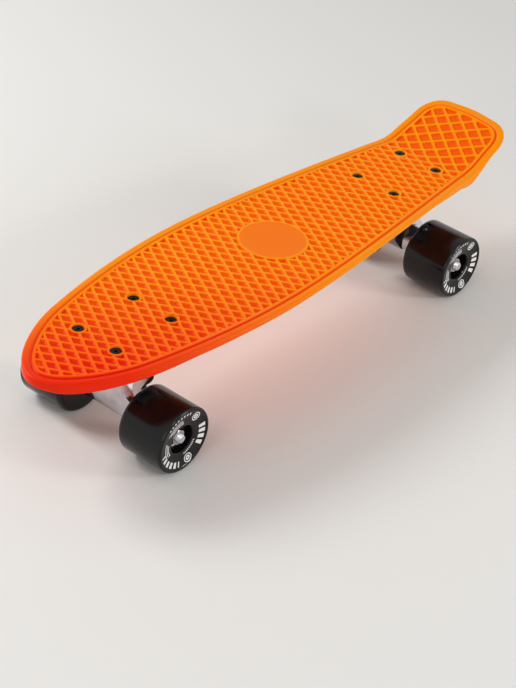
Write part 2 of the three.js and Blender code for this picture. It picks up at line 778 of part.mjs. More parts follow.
// Wheel profile along the axle, as [radius, distance from the middle of the board].
function wheelSolid() {
  const face = wheel.outerFace;
  const back = face - wheel.width;
  const tread = wheel.radius / Math.cos(halfTurn / wheel.sides);
  const seat = bearing.outerRadius + fit.gap;
  const round = (1 - Math.SQRT1_2) * wheel.lip;
  const innerSeatEnd = innerBearingY + bearing.width + fit.gap;
  const outerSeatEnd = outerBearingY - fit.gap;
  return revolved([
    [tread - wheel.lip, back], [tread - round, back + round], [tread, back + wheel.lip],
    [tread, face - wheel.lip], [tread - round, face - round], [tread - wheel.lip, face],
    [wheel.hubRadius, face - wheel.faceDish],
    [wheel.hubRadius, outerBearingY + bearing.width], [seat, outerBearingY + bearing.width],
    [seat, outerSeatEnd], [wheel.boreRadius, outerSeatEnd],
    [wheel.boreRadius, innerSeatEnd], [seat, innerSeatEnd],
    [seat, innerBearingY], [wheel.hubRadius, back + wheel.backDish],
  ], wheel.sides, halfTurn / wheel.sides);
}

function bearingSolid() {
  const { outerRadius, innerRadius, width, sides } = bearing;
  return revolved([[innerRadius, 0], [outerRadius, 0], [outerRadius, width], [innerRadius, width]], sides);
}

function speedWasherSolid() {
  const bore = axle.radius + fit.gap;
  const { radius, thick, sides } = speedWasher;
  return revolved([[bore, 0], [radius, 0], [radius, thick], [bore, thick]], sides);
}

// Turns a piece made along +Z onto the axle, on the side +Y or -Y.
function ontoAxle(solid, side, y = 0) {
  return solid.translate([0, 0, y]).rotate([side > 0 ? -90 : 90, 0, 0]);
}

function truckGroup(end) {
  const group = new THREE.Group();
  const where = end > 0 ? 'front' : 'rear';
  const add = (name, solid, look) => group.add(meshOf(`${where}_${name}`, solid, look));
  const onKingpin = (solid, z) => solid.translate([truck.kingpinX, 0, z]);
  add('base_plate', basePlateSolid(), finish.aluminium);
  add('pivot_cup', pivotCupSolid(), finish.rubber);
  add('kingpin', onKingpin(kingpinSolid(), 0), finish.blackSteel);
  add('upper_cup_washer', onKingpin(cupWasherSolid().rotate([180, 0, 0]), upperWasherZ), finish.blackSteel);
  add('upper_bushing', onKingpin(upperBushingSolid(), 0), finish.bushing);
  add('hanger', hangerSolid(), finish.aluminium);
  add('lower_bushing', onKingpin(lowerBushingSolid(), 0), finish.bushing);
  add('lower_cup_washer', onKingpin(cupWasherSolid(), lowerBushingFoot - cupWasher.thick), finish.blackSteel);
  add('kingpin_nut', onKingpin(nut(kingpinNut, kingpin.radius).rotate([180, 0, 0]), nutTopZ), finish.blackSteel);
  add('axle', axleSolid(), finish.steel);
  for (const side of [1, -1]) {
    const name = side * end > 0 ? 'left' : 'right';
    add(`${name}_wheel`, ontoAxle(wheelSolid(), side), finish.wheel);
    add(`${name}_inner_bearing`, ontoAxle(bearingSolid(), side, innerBearingY), finish.shield);
    add(`${name}_outer_bearing`, ontoAxle(bearingSolid(), side, outerBearingY), finish.shield);
    add(`${name}_speed_washer`, ontoAxle(speedWasherSolid(), side, washerY), finish.steel);
    add(`${name}_axle_nut`, ontoAxle(nut(axleNut, axle.radius), side, nutY), finish.steel);
  }
  group.position.set(end * (truckX - truck.boltCentreX), 0, axleZ);
  if (end < 0) group.rotation.z = halfTurn;
  return group;
}

const group = new THREE.Group();
group.add(meshOf('deck', deckSolid(), finish.deck));
addDeckHardware(group);
group.add(truckGroup(1), truckGroup(-1));

// The origin lies under the middle of the board, on the ground
group.updateMatrixWorld(true);
const middle = new THREE.Box3().setFromObject(group).getCenter(new THREE.Vector3());
group.position.x = -middle.x;

export default group;
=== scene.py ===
# Plastic cruiser skateboard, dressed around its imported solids.
# Shapes are in millimetres until a piece is finished.
import math

import bmesh
import bpy
from mathutils import Matrix, Vector
from mathutils.geometry import interpolate_bezier


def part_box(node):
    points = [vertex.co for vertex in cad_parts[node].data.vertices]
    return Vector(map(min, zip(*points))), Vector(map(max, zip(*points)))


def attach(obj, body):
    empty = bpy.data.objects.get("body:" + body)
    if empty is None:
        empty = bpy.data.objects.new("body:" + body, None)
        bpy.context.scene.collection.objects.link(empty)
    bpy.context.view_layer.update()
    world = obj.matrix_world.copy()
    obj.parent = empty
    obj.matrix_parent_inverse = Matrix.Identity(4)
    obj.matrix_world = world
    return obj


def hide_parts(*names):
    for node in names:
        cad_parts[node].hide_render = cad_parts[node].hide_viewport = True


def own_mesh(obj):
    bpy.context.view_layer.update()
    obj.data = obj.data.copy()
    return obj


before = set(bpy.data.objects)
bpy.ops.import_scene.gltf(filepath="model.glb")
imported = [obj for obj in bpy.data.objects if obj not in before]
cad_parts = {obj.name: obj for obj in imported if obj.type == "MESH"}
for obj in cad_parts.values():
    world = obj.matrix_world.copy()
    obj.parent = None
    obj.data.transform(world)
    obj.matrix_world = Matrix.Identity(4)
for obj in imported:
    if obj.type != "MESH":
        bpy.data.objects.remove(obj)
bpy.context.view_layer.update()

mm = 0.001
fullTurn = 2 * math.pi
ends = {"front": 1, "rear": -1}


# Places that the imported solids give

def boxOf(node):
    low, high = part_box(node)
    return low / mm, high / mm


def centreOf(node):
    low, high = boxOf(node)
    return (low + high) / 2


axleCentre = {end: centreOf(end + "_axle") for end in ends}
deckMiddleX = (axleCentre["front"].x + axleCentre["rear"].x) / 2
boltPlaneZ = boxOf("front_outer_left_deck_bolt")[1].z


def truckPlace(end):  # from about the axle's middle, +X to the end of the board
    turn = Matrix.Rotation(0 if ends[end] > 0 else math.pi, 4, "Z")
    return Matrix.Translation(axleCentre[end]) @ turn


# Materials

def linear(hexColour):
    channels = [int(hexColour[i:i + 2], 16) / 255 for i in (1, 3, 5)]
    return [c / 12.92 if c <= 0.04045 else ((c + 0.055) / 1.055) ** 2.4 for c in channels] + [1]


def addNode(tree, kind, settings=None, links=None, feeds=None):
    node = tree.nodes.new(kind)
    for name, value in (settings or {}).items():
        if isinstance(name, str) and hasattr(node, name):
            setattr(node, name, value)
        else:
            node.inputs[name].default_value = value
    for name, source in (links or {}).items():
        tree.links.new(source, node.inputs[name])
    for name, target in (feeds or {}).items():
        tree.links.new(node.outputs[name], target)
    return node


def newMaterial(name, shaderSettings):
    material = bpy.data.materials.new(name)
    material.use_nodes = True
    tree = material.node_tree
    tree.nodes.clear()
    shader = addNode(tree, "ShaderNodeBsdfPrincipled", shaderSettings)
    addNode(tree, "ShaderNodeOutputMaterial", links={"Surface": shader.outputs[0]})
    return material, tree, shader


# Injection-moulded polypropylene: saturated orange, softly glossy, with painted shade:
# darker in the pockets, redder and darker toward the nose's left
deckPlastic = {
    # painted shade: the pocket colour darkens the recesses, and the nose colours redden the nose's left
    "crest": "#ff9700", "pocket": "#f96000", "paintedShadeNoseCrest": "#ff5a00", "paintedShadeNosePocket": "#e81200",
    "fadeStart": 5, "fadeEnd": 320, "fadeLean": 1.1, "cloudSize": 70, "cloudShare": 0.14, "grainSize": 0.8,
    "roughLow": 0.27, "roughHigh": 0.4, "grainHeight": 0.02,
}


def makeDeckPlastic():
    look = deckPlastic
    material, tree, shader = newMaterial("mouldedPolypropylene", {
        "IOR": 1.49, "Specular IOR Level": 0.1, "Subsurface Weight": 0.1,
        "Subsurface Radius": (1.0, 0.35, 0.1), "Subsurface Scale": 0.003})
    where = addNode(tree, "ShaderNodeTexCoord")
    along = addNode(tree, "ShaderNodeVectorMath", {"operation": "DOT_PRODUCT", 1: (1, look["fadeLean"], 0)},
                    {0: where.outputs["Object"]})
    paintedNoseShadeFade = addNode(tree, "ShaderNodeMapRange", {
        "interpolation_type": "SMOOTHSTEP", "From Min": (deckMiddleX + look["fadeStart"]) * mm,
        "From Max": (deckMiddleX + look["fadeEnd"]) * mm}, {"Value": along.outputs["Value"]})
    cloud = addNode(tree, "ShaderNodeTexNoise", {"Scale": 1 / (look["cloudSize"] * mm), "Detail": 2},
                    {"Vector": where.outputs["Object"]})
    drift = addNode(tree, "ShaderNodeMapRange",
                    {"To Min": -look["cloudShare"], "To Max": look["cloudShare"]},
                    {"Value": cloud.outputs[0]})
    share = addNode(tree, "ShaderNodeMath", {"operation": "ADD", "use_clamp": True},
                    {0: paintedNoseShadeFade.outputs[0], 1: drift.outputs[0]})
    # painted shade: a per-vertex share of the darker pocket colour
    paintedShade = addNode(tree, "ShaderNodeAttribute", {"attribute_name": "paintedShadeShare"})
    body = addNode(tree, "ShaderNodeMix",
                   {"data_type": "RGBA", 6: linear(look["crest"]), 7: linear(look["pocket"])},
                   {0: paintedShade.outputs["Fac"]})
    # painted shade: the redder, darker nose colours, mixed in toward the nose's left
    nose = addNode(tree, "ShaderNodeMix",
                   {"data_type": "RGBA", 6: linear(look["paintedShadeNoseCrest"]), 7: linear(look["paintedShadeNosePocket"])},
                   {0: paintedShade.outputs["Fac"]})
    addNode(tree, "ShaderNodeMix", {"data_type": "RGBA"},
            {0: share.outputs[0], 6: body.outputs[2], 7: nose.outputs[2]}, {2: shader.inputs["Base Color"]})
    grain = addNode(tree, "ShaderNodeTexNoise", {"Scale": 1 / (look["grainSize"] * mm), "Detail": 3},
                    {"Vector": where.outputs["Object"]})
    addNode(tree, "ShaderNodeMapRange", {"To Min": look["roughLow"], "To Max": look["roughHigh"]},
            {"Value": grain.outputs[0]}, {0: shader.inputs["Roughness"]})
    addNode(tree, "ShaderNodeBump", {"Strength": 0.5, "Distance": look["grainHeight"] * mm},
            {"Height": grain.outputs[0]}, {0: shader.inputs["Normal"]})
    return material


# Metals and plastics that differ only in colour, gloss and grain: [size of the grain, its height]
plainLooks = {
    # die-cast aluminium, tumbled and polished: bright, with the faint waves of the casting
    "polishedAluminium": {"colour": "#dad9dd", "stain": "#b4b3b9", "metal": 1, "rough": (0.14, 0.28),
                          "grain": (6, 0.05), "stainSize": 18},
    # zinc-plated steel: pale grey metal with a fine turned grain
    "zincSteel": {"colour": "#e4e5e7", "stain": "#bfc0c4", "metal": 1, "rough": (0.14, 0.3),
                  "grain": (0.9, 0.03), "stainSize": 6},
    # black oxide on steel: almost black, oily sheen, browner where it is handled
    "blackOxideSteel": {"colour": "#0a090a", "stain": "#151110", "metal": 0.2, "rough": (0.25, 0.42),
                        "grain": (0.7, 0.03), "stainSize": 5, "also": {"Specular IOR Level": 0.15}},
    # cast urethane bushing: translucent honey yellow
    "honeyUrethane": {"colour": "#f0b013", "stain": "#e39a08", "metal": 0, "rough": (0.18, 0.32),
                      "grain": (1.5, 0.02), "stainSize": 9,
                      "also": {"Subsurface Weight": 0.35, "Subsurface Radius": (1, 0.6, 0.1),
                               "Subsurface Scale": 0.004}},
    # pivot cup: dull black rubber
    "blackRubber": {"colour": "#18181a", "stain": "#232325", "metal": 0, "rough": (0.55, 0.75),
                    "grain": (0.8, 0.04), "stainSize": 6},
    # bearing shield: pressed steel, blackened
    "blackenedShield": {"colour": "#3a3b40", "stain": "#4c4d52", "metal": 0.7, "rough": (0.22, 0.38),
                        "grain": (0.6, 0.02), "stainSize": 4},
}


def makePlain(name, look):
    material, tree, shader = newMaterial(name, {"Metallic": look["metal"], **look.get("also", {})})
    where = addNode(tree, "ShaderNodeTexCoord")
    stain = addNode(tree, "ShaderNodeTexNoise", {"Scale": 1 / (look["stainSize"] * mm), "Detail": 3},
                    {"Vector": where.outputs["Object"]})
    share = addNode(tree, "ShaderNodeMapRange", {"From Min": 0.3, "From Max": 0.75},
                    {"Value": stain.outputs[0]})
    addNode(tree, "ShaderNodeMix",
            {"data_type": "RGBA", 6: linear(look["colour"]), 7: linear(look["stain"])},
            {0: share.outputs[0]}, {2: shader.inputs["Base Color"]})
    low, high = look["rough"]
    addNode(tree, "ShaderNodeMapRange", {"To Min": low, "To Max": high}, {"Value": stain.outputs[0]},
            {0: shader.inputs["Roughness"]})
    size, height = look["grain"]
    grain = addNode(tree, "ShaderNodeTexNoise", {"Scale": 1 / (size * mm), "Detail": 3},
                    {"Vector": where.outputs["Object"]})
    addNode(tree, "ShaderNodeBump", {"Strength": 0.4, "Distance": height * mm},
            {"Height": grain.outputs[0]}, {0: shader.inputs["Normal"]})
    return material


# Cast polyurethane wheel: black and glossy, with plain pad-printed marks on its outer face
wheelLook = {
    "black": "#08080a", "scuff": "#131315", "white": "#eceae8", "scuffSize": 12,
    "waveSize": 1.2, "waveHeight": 0.008, "roughLow": 0.1, "roughHigh": 0.24,
    # Rings of marks: how many in a turn and their share of it, radius and half width in millimetres,
    # middle and half length of the arc in degrees
    "rings": [
        {"count": 26, "filled": 0.62, "radius": 22.1, "half": 3.1, "arc": -9, "halfArc": 28},
        {"count": 26, "filled": 0.55, "radius": 22.6, "half": 2.5, "arc": -132, "halfArc": 34.6},
        {"count": 44, "filled": 0.45, "radius": 24.4, "half": 1.1, "arc": 105, "halfArc": 30},
        {"count": 64, "filled": 0.5, "radius": 15.2, "half": 0.8, "arc": -52, "halfArc": 30},
        {"count": 1, "filled": 1, "radius": 20.2, "half": 0.4, "arc": 122, "halfArc": 26},
        {"count": 1, "filled": 1, "radius": 18.3, "half": 0.4, "arc": 118, "halfArc": 26},
        {"count": 1, "filled": 1, "radius": 16.4, "half": 0.4, "arc": 114, "halfArc": 24},
        {"count": 1, "filled": 1, "radius": 20.2, "half": 0.4, "arc": -176, "halfArc": 20},
        {"count": 1, "filled": 1, "radius": 18.3, "half": 0.4, "arc": -172, "halfArc": 20},
        {"count": 1, "filled": 1, "radius": 16.4, "half": 0.4, "arc": -168, "halfArc": 20},
    ],
    # Round badges of two rings each: place round the wheel in degrees, radius of that place
    "badges": [(53, 21.8), (-71, 22)], "badgeRings": [(3.7, 0.45), (1.5, 0.75)],
}


def ringMask(tree, turn, radius, ring):  # 1 on the marks of one ring
    within = addNode(tree, "ShaderNodeMath", {"operation": "COMPARE", 1: ring["radius"], 2: ring["half"]},
                     {0: radius})
    shifted = addNode(tree, "ShaderNodeMath", {"operation": "SUBTRACT", 1: ring["arc"] / 360 - 0.5},
                      {0: turn})
    along = addNode(tree, "ShaderNodeMath", {"operation": "FRACT"}, {0: shifted.outputs[0]})
    arc = addNode(tree, "ShaderNodeMath", {"operation": "COMPARE", 1: 0.5, 2: ring["halfArc"] / 360},
                  {0: along.outputs[0]})
    steps = addNode(tree, "ShaderNodeMath", {"operation": "MULTIPLY", 1: ring["count"]},
                    {0: along.outputs[0]})
    place = addNode(tree, "ShaderNodeMath", {"operation": "FRACT"}, {0: steps.outputs[0]})
    stroke = addNode(tree, "ShaderNodeMath", {"operation": "COMPARE", 1: 0.5, 2: ring["filled"] / 2},
                     {0: place.outputs[0]})
    both = addNode(tree, "ShaderNodeMath", {"operation": "MULTIPLY"},
                   {0: within.outputs[0], 1: arc.outputs[0]})
    return addNode(tree, "ShaderNodeMath", {"operation": "MULTIPLY"},
                   {0: both.outputs[0], 1: stroke.outputs[0]})


def badgeMask(tree, place, angle, reach):  # 1 on the two rings of one badge
    angle = math.radians(angle - 180)
    middle = (reach * math.cos(angle), reach * math.sin(angle), 0)
    away = addNode(tree, "ShaderNodeVectorMath", {"operation": "DISTANCE", 1: middle}, {0: place})
    outer, inner = [addNode(tree, "ShaderNodeMath", {"operation": "COMPARE", 1: radius, 2: half},
                            {0: away.outputs["Value"]})
                    for radius, half in wheelLook["badgeRings"]]
    return addNode(tree, "ShaderNodeMath", {"operation": "MAXIMUM"},
                   {0: outer.outputs[0], 1: inner.outputs[0]})


def makeWheelUrethane():
    look = wheelLook
    material, tree, shader = newMaterial("castUrethane", {"IOR": 1.5, "Specular IOR Level": 0.28})
    place = addNode(tree, "ShaderNodeUVMap", {"uv_map": "facePrint"})
    parts = addNode(tree, "ShaderNodeSeparateXYZ", links={0: place.outputs[0]})
    radius = addNode(tree, "ShaderNodeVectorMath", {"operation": "LENGTH"}, {0: place.outputs[0]})
    angle = addNode(tree, "ShaderNodeMath", {"operation": "ARCTAN2"},
                    {0: parts.outputs[1], 1: parts.outputs[0]})
    turn = addNode(tree, "ShaderNodeMath", {"operation": "MULTIPLY_ADD", 1: 1 / fullTurn, 2: 0.5},
                   {0: angle.outputs[0]})
    masks = [ringMask(tree, turn.outputs[0], radius.outputs["Value"], ring) for ring in look["rings"]]
    masks += [badgeMask(tree, place.outputs[0], *badge) for badge in look["badges"]]
    printed = masks[0]
    for mask in masks[1:]:
        printed = addNode(tree, "ShaderNodeMath", {"operation": "MAXIMUM"},
                          {0: printed.outputs[0], 1: mask.outputs[0]})
    where = addNode(tree, "ShaderNodeTexCoord")
    scuff = addNode(tree, "ShaderNodeTexNoise", {"Scale": 1 / (look["scuffSize"] * mm), "Detail": 3},
                    {"Vector": where.outputs["Object"]})
    black = addNode(tree, "ShaderNodeMix",
                    {"data_type": "RGBA", 6: linear(look["black"]), 7: linear(look["scuff"])},
                    {0: scuff.outputs[0]})
    addNode(tree, "ShaderNodeMix", {"data_type": "RGBA", 7: linear(look["white"])},
            {0: printed.outputs[0], 6: black.outputs[2]}, {2: shader.inputs["Base Color"]})
    addNode(tree, "ShaderNodeMapRange", {"To Min": look["roughLow"], "To Max": look["roughHigh"]},
            {"Value": scuff.outputs[0]}, {0: shader.inputs["Roughness"]})
    wave = addNode(tree, "ShaderNodeTexNoise", {"Scale": 1 / (look["waveSize"] * mm)},
                   {"Vector": where.outputs["Object"]})
    addNode(tree, "ShaderNodeBump", {"Strength": 0.3, "Distance": look["waveHeight"] * mm},
            {"Height": wave.outputs[0]}, {0: shader.inputs["Normal"]})
    return material


materials = {name: makePlain(name, look) for name, look in plainLooks.items()}
materials["mouldedPolypropylene"] = makeDeckPlastic()
materials["castUrethane"] = makeWheelUrethane()
slotLooks = {
    "deck": "mouldedPolypropylene", "black_hardware": "blackOxideSteel",
    "polished_aluminium": "polishedAluminium", "bright_steel": "zincSteel",
    "bushing": "honeyUrethane", "pivot_rubber": "blackRubber",
    "wheel_urethane": "castUrethane", "bearing_shield": "blackenedShield",
}
print("materials made:", len(materials))


# Making and joining bodies

def vertsOf(made):
    return [item for item in made["geom"] if isinstance(item, bmesh.types.BMVert)]


def spunBody(profile, steps=48):  # [radius, height, rounding] about Z, open where it meets the axis
    bm = bmesh.new()
    verts = [bm.verts.new((point[0], 0, point[1])) for point in profile]
    first = 0 if profile[0][0] > 0 else 1
    for i in range(first, len(verts)):
        bm.edges.new((verts[i - 1], verts[i]))
    for vert, point in zip(verts, profile):
        if len(point) > 2:
            bmesh.ops.bevel(bm, geom=[vert], offset=point[2], segments=3, profile=0.5, affect="VERTICES",
                            material=-1)
    bmesh.ops.spin(bm, geom=bm.verts[:] + bm.edges[:], cent=(0, 0, 0), axis=(0, 0, 1), angle=fullTurn,
                   steps=steps, use_merge=True, use_duplicate=False)
    bmesh.ops.remove_doubles(bm, verts=bm.verts, dist=0.001)
    bmesh.ops.recalc_face_normals(bm, faces=bm.faces)
    return bm


def raised(bm, faces, height):
    made = bmesh.ops.extrude_face_region(bm, geom=faces, use_keep_orig=True)
    bmesh.ops.translate(bm, verts=vertsOf(made), vec=(0, 0, height))
    bmesh.ops.recalc_face_normals(bm, faces=bm.faces)
    return bm


def prismBody(outline, low, high):
    bm = bmesh.new()
    face = bm.faces.new([bm.verts.new((x, y, low)) for x, y in outline])
    return raised(bm, [face], high - low)


def polygonBody(sides, radius, low, high):
    bm = bmesh.new()
    bmesh.ops.create_circle(bm, cap_ends=True, segments=sides, radius=radius)
    bmesh.ops.translate(bm, verts=bm.verts, vec=(0, 0, low))
    return raised(bm, bm.faces[:], high - low)


def blockBody(length, width, height, corner=0):  # a plate with corners rounded in plan
    bm = bmesh.new()
    bmesh.ops.create_grid(bm, x_segments=1, y_segments=1, size=0.5)
    bmesh.ops.scale(bm, verts=bm.verts, vec=(length, width, 1))
    if corner:
        bmesh.ops.bevel(bm, geom=bm.verts[:], offset=corner, segments=4, profile=0.5, affect="VERTICES",
                        material=-1)
    bmesh.ops.translate(bm, verts=bm.verts, vec=(0, 0, -height / 2))
    return raised(bm, bm.faces[:], height)


def moved(bm, x=0.0, y=0.0, z=0.0):
    bmesh.ops.translate(bm, verts=bm.verts, vec=(x, y, z))
    return bm


def joined(bodies):  # loose bodies in one mesh
    whole = bmesh.new()
    for body in bodies:
        mesh = bpy.data.meshes.new("part")
        body.to_mesh(mesh)
        whole.from_mesh(mesh)
        body.free()
        bpy.data.meshes.remove(mesh)
    return whole


def objectOf(name, bm):
    mesh = bpy.data.meshes.new(name)
    bm.to_mesh(mesh)
    bm.free()
    thing = bpy.data.objects.new(name, mesh)
    bpy.context.scene.collection.objects.link(thing)
    return thing


def settled(thing):  # the mesh with its modifiers applied, back as a body
    bpy.context.view_layer.update()
    shown = thing.evaluated_get(bpy.context.evaluated_depsgraph_get())
    bm = bmesh.new()
    bm.from_mesh(shown.to_mesh())
    shown.to_mesh_clear()
    mesh = thing.data
    bpy.data.objects.remove(thing)
    bpy.data.meshes.remove(mesh)
    return bm


def combined(base, tool, operation):
    baseObject, toolObject = objectOf("base", base), objectOf("tool", tool)
    modifier = baseObject.modifiers.new("combine", "BOOLEAN")
    modifier.operation = operation
    modifier.object = toolObject
    modifier.solver = "MANIFOLD"
    bm = settled(baseObject)
    mesh = toolObject.data
    bpy.data.objects.remove(toolObject)
    bpy.data.meshes.remove(mesh)
    return bm


def eased(bm, width, segments=2, angle=32):  # rounds every sharp edge, and hollows the inner corners
    thing = objectOf("eased", bm)
    modifier = thing.modifiers.new("ease", "BEVEL")
    modifier.width = width
    modifier.segments = segments
    modifier.limit_method = "ANGLE"
    modifier.angle_limit = math.radians(angle)
    modifier.use_clamp_overlap = True
    return settled(thing)


def finishPiece(bm, name, body, slotName, nodes, place=None, smoothAngle=38):
    if place:
        bmesh.ops.transform(bm, matrix=place, verts=bm.verts)
    bmesh.ops.scale(bm, verts=bm.verts, vec=(mm, mm, mm))
    piece = objectOf(name, bm)
    piece.data.materials.clear()
    piece.data.materials.append(materials[slotLooks[slotName]])
    piece.data.shade_smooth()
    piece.data.set_sharp_from_angle(angle=math.radians(smoothAngle))
    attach(piece, body)
    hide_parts(*nodes)
    return piece


def openEdges(bm):
    return sum(1 for edge in bm.edges if len(edge.link_faces) != 2)


# Deck: made flat, then rolled up onto its kicked tail

deckForm = {
    "noseReach": 282, "tailReach": 300, "halfWidth": 74.5, "neckHalfWidth": 49.5, "tailHalfWidth": 47.75,
    "neckReach": 220, "padDepth": 10.75, "top": 1.5, "rimBand": 8.6,
    # round the grip surface: a low bead, then a groove, then the rounded rim
    # each is [inset from the bead's foot, height, how much of the pockets' colour it takes as painted
    # shade, most in the groove]
    "bead": [[1.15, 0, 0], [0.95, 0.3, 0], [0.35, 0.35, 0], [0, 0, 0.2], [-0.4, -1.2, 1], [-0.9, -1.5, 1],
             [-1.6, -1.45, 1], [-2.4, -1.05, 0.3], [-3, -0.75, 0], [-4, -0.5, 0]], "rimDrop": 0.45,
    # painted shade: where the rim turns red, and how much of the pockets' colour it has before and after
    "paintedRimFade": (110, 300, 0.1, 0.85), "paintedUnderShade": 0.6,
    "edgeRound": 2.25, "footRound": 1.1, "flange": 4.5, "flangeRun": 1.5, "skirt": 9.5, "body": 12.25,
    "shell": 4.75, "camber": 1.5, "kickRadius": 58, "kickAngle": math.radians(20.5),
    "truckX": 179, "seatLength": 75, "seatWidth": 55, "seatHeight": 5, "seatCorner": 9,
    "curveSteps": [28, 16, 34, 8, 6, 14, 5], "across": 72,
}

# Half of the outline, nose to tail by the left side, each point a share of [reach, width]
# reach: n to the nose, t to the tail; width: w the middle, k the neck, e the tail
outlineCurves = [
    [("n", 1, "w", 0), ("n", 1, "w", 0.34), ("n", 0.835, "w", 0.675), ("n", 0.72, "w", 0.765)],
    [("n", 0.72, "w", 0.765), ("n", 0.54, "w", 0.915), ("n", 0.36, "w", 1), ("n", 0.18, "w", 1)],
    [("n", 0.18, "w", 1), ("t", 0.08, "w", 1), ("t", 0.445, "k", 1.215), ("t", 0.675, "k", 1.055)],
    [("t", 0.675, "k", 1.055), ("t", 0.715, "k", 1.015), ("t", 0.75, "k", 1), ("t", 0.79, "k", 1)],
    [("t", 0.79, "k", 1), ("t", 0.83, "k", 1), ("t", 0.86, "e", 1), ("t", 0.89, "e", 1)],
    [("t", 0.89, "e", 1), ("t", 0.955, "e", 1), ("t", 0.99, "e", 0.78), ("t", 0.993, "e", 0.5)],
    [("t", 0.993, "e", 0.5), ("t", 0.996, "e", 0.3), ("t", 1, "e", 0.15), ("t", 1, "e", 0)],
]

# Tables of [share along, share of the size]: -1 at the tail, 0 between the trucks, 1 at the nose
skirtShares = [
    [-1, 0.42], [-0.86, 0.42], [-0.815, 0.62], [-0.76, 1.1], [-0.68, 0.74], [-0.5, 0.43],
    [-0.3, 0.42], [0, 0.47], [0.36, 0.6], [0.54, 0.7], [0.72, 0.92], [0.95, 1.15], [1, 0.9],
]
bodyShares = [[-1, 0.38], [-0.89, 0.42], [-0.76, 1], [0.8, 1], [1, 0.9]]

# Underside, middle to rim: [share of the half width, depth of the solid end, of the ribbed middle]
sectionShares = [
    [0, 1, 0.388], [0.27, 1, 0.388], [0.37, 1, 0.96], [0.53, 1, 0.96], [0.62, 0.98, 0.388],
    [0.75, 0.9, 0.388], [0.82, 0.84, 0.735], [0.92, 0.76, 0.735], [1, 0, 0],
]
ribEnds = {"middle": 7, "pocketStart": 88, "pocketEnd": 104, "channelStart": 96, "channelEnd": 128,
           "pocketShare": 0.45}


def eased01(value, low, high):
    share = min(max((value - low) / (high - low), 0), 1)
    return share * share * (3 - 2 * share)


def tableValue(table, place, smooth=False, column=1):
    if place <= table[0][0]:
        return table[0][column]
    for before, after in zip(table, table[1:]):
        if place <= after[0]:
            share = (place - before[0]) / (after[0] - before[0])
            if smooth:
                share = eased01(share, 0, 1)
            return before[column] + share * (after[column] - before[column])
    return table[-1][column]


def alongShare(s):
    return s / deckForm["tailReach"] if s < 0 else s / deckForm["noseReach"]


def skirtAt(s):
    return deckForm["skirt"] * tableValue(skirtShares, alongShare(s), True)


def bodyAt(s):
    return deckForm["body"] * tableValue(bodyShares, alongShare(s), True)


def outlinePlaces():
    reach = {"n": deckForm["noseReach"], "t": -deckForm["tailReach"]}
    width = {"w": deckForm["halfWidth"], "k": deckForm["neckHalfWidth"], "e": deckForm["tailHalfWidth"]}
    half = []
    for curve, steps in zip(outlineCurves, deckForm["curveSteps"]):
        knots = [Vector((share * reach[r], part * width[w], 0)) for r, share, w, part in curve]
        points = interpolate_bezier(*knots, steps + 1)
        half += points if not half else points[1:]
    loop = half + [Vector((p.x, -p.y, 0)) for p in reversed(half[1:-1])]
    places = []
    for i, point in enumerate(loop):
        along = (loop[(i + 1) % len(loop)] - loop[i - 1]).normalized()
        places.append((point, Vector((-along.y, along.x, 0))))
    return places


outline = outlinePlaces()


def insetOutline(inset):
    return [point + inward * inset for point, inward in outline]


# From the grip surface out, down and under: [inset, what the height hangs from, height over it, colour]
def rimRings():
    form = deckForm
    top, edge, foot = form["top"], form["edgeRound"], form["footRound"]
    rings = [(form["rimBand"] + inset, "top", height, paintedShade) for inset, height, paintedShade in form["bead"]]
    for step in range(7):
        angle = step / 6 * math.pi / 2
        drop = form["rimDrop"] + (edge - form["rimDrop"]) * (1 - math.cos(angle))
        rings.append((edge * (1 - math.sin(angle)), "top", -drop, 0))
    for step in range(4):
        angle = step / 3 * math.pi / 2
        rings.append((foot * (1 - math.cos(angle)), "skirt", foot * (1 - math.sin(angle)), 0))
    rings.append((form["flange"], "skirt", 0, 0))
    rings.append((form["flange"] + form["flangeRun"], "shell", 0, 0))
    return [(inset, base, top + rise, paintedShade) for inset, base, rise, paintedShade in rings]


def ringHeight(s, base, rise):
    if base == "top":
        return rise
    depth = skirtAt(s)
    return rise - (depth if base == "skirt" else min(depth, deckForm["shell"]))


def undersideDepth(s, share):
    solid = tableValue(sectionShares, share, True, 1)
    ribbed = tableValue(sectionShares, share, True, 2)
    reach = abs(s - ribEnds["middle"])
    pocket = share > ribEnds["pocketShare"]
    start = ribEnds["pocketStart"] if pocket else ribEnds["channelStart"]
    end = ribEnds["pocketEnd"] if pocket else ribEnds["channelEnd"]
    ribbing = 1 - eased01(reach, start, end)
    depth = bodyAt(s) * (solid + ribbing * (ribbed - solid))
    return max(depth, min(skirtAt(s), deckForm["shell"]))


def paintedRimShade(place):  # painted shade: how much of the pockets' colour the rim takes, more at the nose's left
    start, end, least, most = deckForm["paintedRimFade"]
    return least + (most - least) * eased01(place.x + deckPlastic["fadeLean"] * place.y, start, end)


